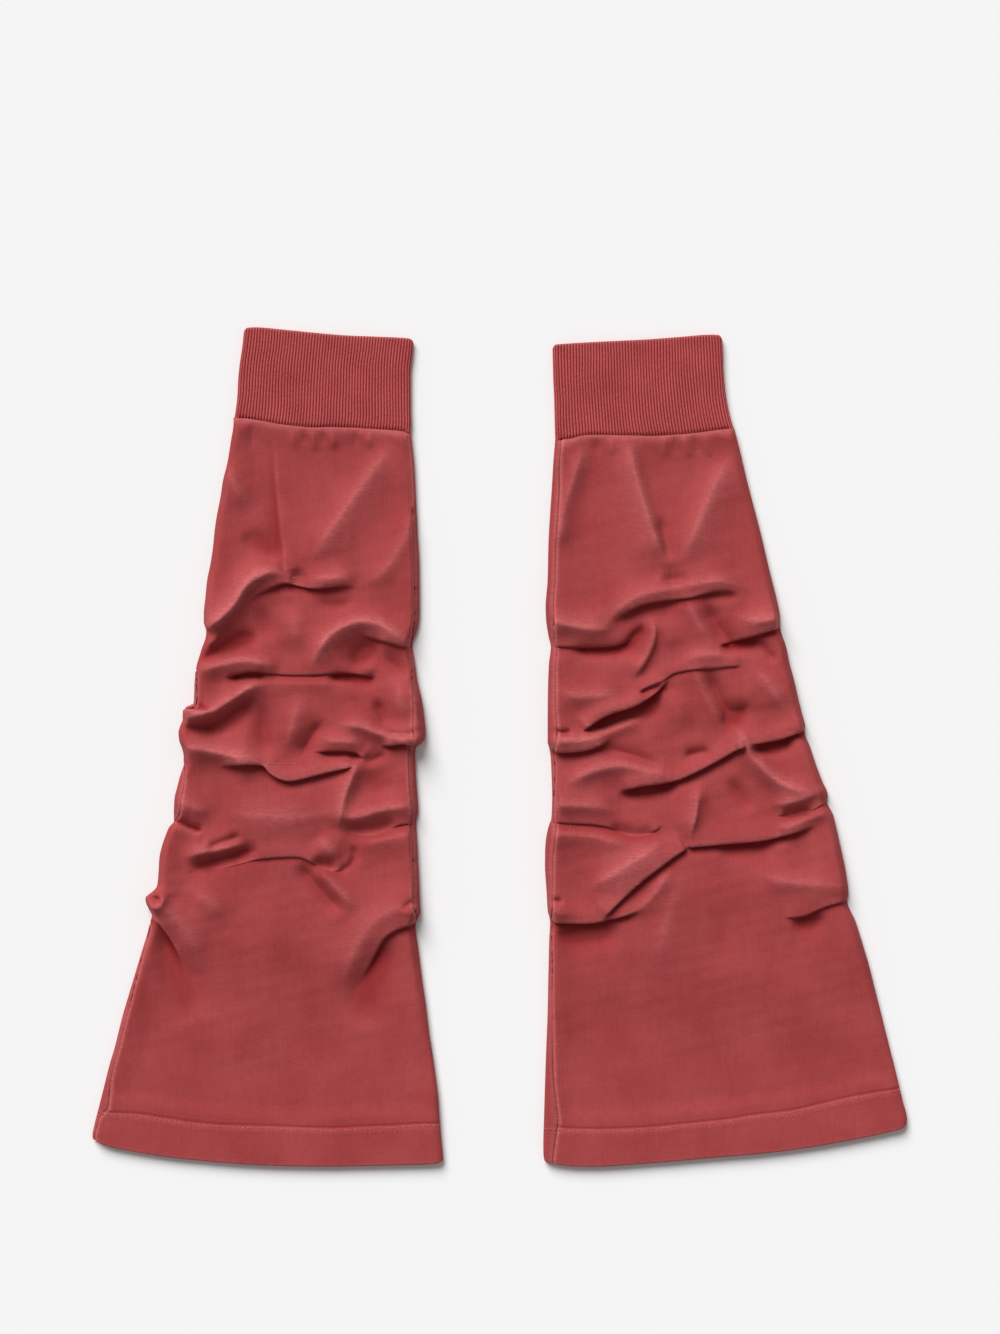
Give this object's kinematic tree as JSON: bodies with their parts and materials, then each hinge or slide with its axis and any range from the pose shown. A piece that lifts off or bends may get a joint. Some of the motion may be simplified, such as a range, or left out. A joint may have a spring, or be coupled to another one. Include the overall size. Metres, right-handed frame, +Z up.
{
  "type": "pair of leg warmers",
  "caption": "Pair of flared leg warmers laid flat: folded rib cuffs, jersey legs gathered by rows of tacked tucks, and turned-up stitched hems.",
  "frame": {"origin": "centre of the pair's bounding box, on the surface that it lies on", "axes": "+X across the pair from the left warmer to the right one, +Y along the legs from the hems to the cuffs, +Z up from the surface"},
  "size_m": [0.4878, 0.5026, 0.0139],
  "materials": {
    "jersey": "garment-dyed heavy cotton jersey, matt, faded along seams and folds",
    "rib_knit": "garment-dyed 1x1 cotton rib, matt, lighter on the ribs"
  },
  "bodies": {
    "root": {"cuff_left": "rib_knit", "front_left": "jersey", "back_left": "jersey", "cuff_right": "rib_knit", "front_right": "jersey", "back_right": "jersey"}
  },
  "joints": []
}
